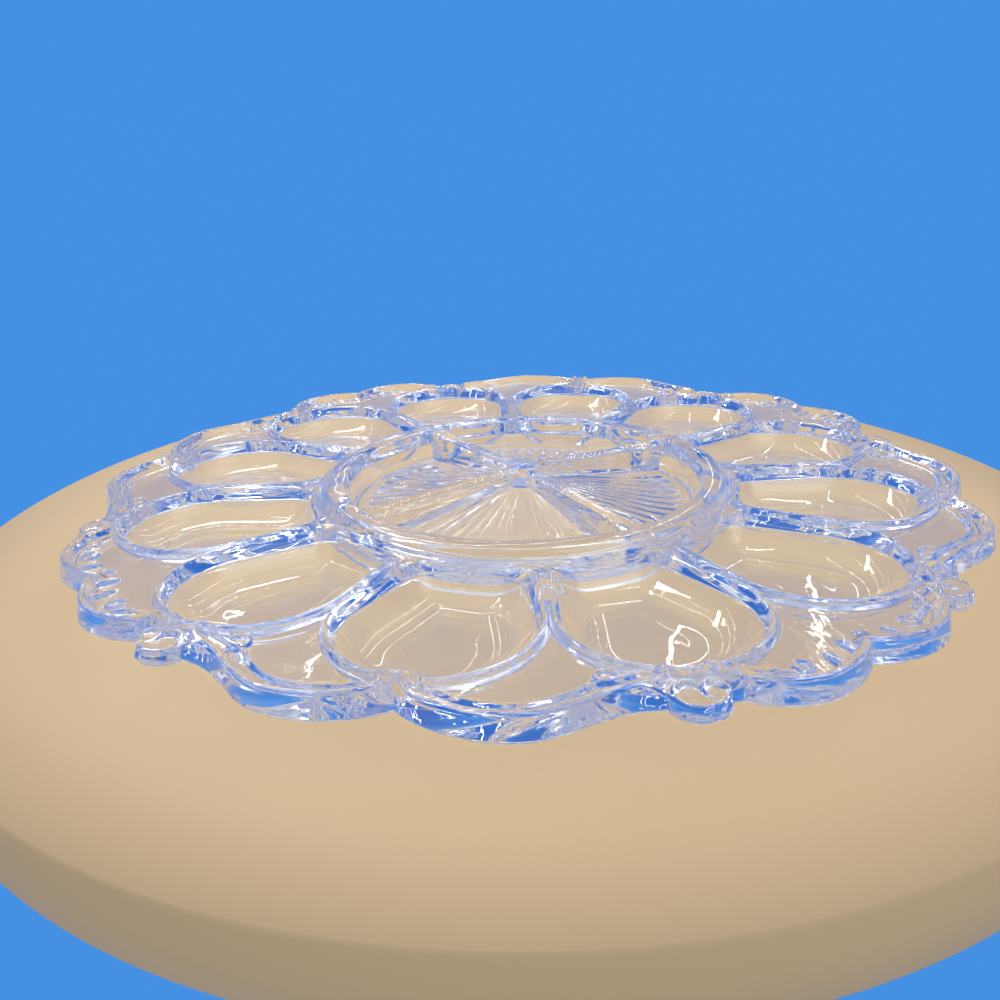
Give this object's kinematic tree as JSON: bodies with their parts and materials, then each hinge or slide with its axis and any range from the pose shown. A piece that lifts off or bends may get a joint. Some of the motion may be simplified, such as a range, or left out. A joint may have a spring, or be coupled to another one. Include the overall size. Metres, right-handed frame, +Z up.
{
  "type": "deviled egg platter",
  "caption": "Round clear glass serving platter with egg-shaped wells round a ribbed, divided centre dish, a scalloped scroll rim and a foot ring.",
  "frame": {"origin": "centre of the foot ring's resting face, on the table", "axes": "+Z up, -Y towards the first egg well and the shell crest in front of it"},
  "size_m": [0.2736, 0.2736, 0.0185],
  "materials": {
    "glass_wells": "clear, fire-polished, smooth",
    "glass_dish": "clear, fluted and finely notched",
    "glass_rim": "clear, fire-polished, smooth",
    "glass_ornament": "clear, pressed relief",
    "glass_foot": "clear, ground flat where it rests"
  },
  "bodies": {
    "root": {"foot_ring": "glass_foot", "raised_ring": "glass_wells", "centre_boss": "glass_dish", "centre_rib_1": "glass_dish", "centre_rib_2": "glass_dish", "centre_rib_3": "glass_dish", "centre_rib_4": "glass_dish", "centre_dish_1": "glass_dish", "centre_dish_2": "glass_dish", "centre_dish_3": "glass_dish", "centre_dish_4": "glass_dish", "egg_well_01": "glass_wells", "egg_well_02": "glass_wells", "egg_well_03": "glass_wells", "egg_well_04": "glass_wells", "egg_well_05": "glass_wells", "egg_well_06": "glass_wells", "egg_well_07": "glass_wells", "egg_well_08": "glass_wells", "egg_well_09": "glass_wells", "egg_well_10": "glass_wells", "egg_well_11": "glass_wells", "egg_well_12": "glass_wells", "well_divider_01": "glass_wells", "well_divider_02": "glass_wells", "well_divider_03": "glass_wells", "well_divider_04": "glass_wells", "well_divider_05": "glass_wells", "well_divider_06": "glass_wells", "well_divider_07": "glass_wells", "well_divider_08": "glass_wells", "well_divider_09": "glass_wells", "well_divider_10": "glass_wells", "well_divider_11": "glass_wells", "well_divider_12": "glass_wells", "ogee_rim_1": "glass_rim", "ogee_rim_2": "glass_rim", "ogee_rim_3": "glass_rim", "ogee_rim_4": "glass_rim", "leaf_rim_1": "glass_rim", "leaf_rim_2": "glass_rim", "leaf_rim_3": "glass_rim", "leaf_rim_4": "glass_rim", "shell_crest_1": "glass_ornament", "shell_crest_2": "glass_ornament", "shell_crest_3": "glass_ornament", "shell_crest_4": "glass_ornament", "leaf_spray_1": "glass_ornament", "leaf_spray_2": "glass_ornament", "leaf_spray_3": "glass_ornament", "leaf_spray_4": "glass_ornament", "rim_scroll_1": "glass_ornament", "rim_scroll_2": "glass_ornament", "rim_scroll_3": "glass_ornament", "rim_scroll_4": "glass_ornament", "rim_scroll_5": "glass_ornament", "rim_scroll_6": "glass_ornament", "rim_scroll_7": "glass_ornament", "rim_scroll_8": "glass_ornament"}
  },
  "joints": []
}
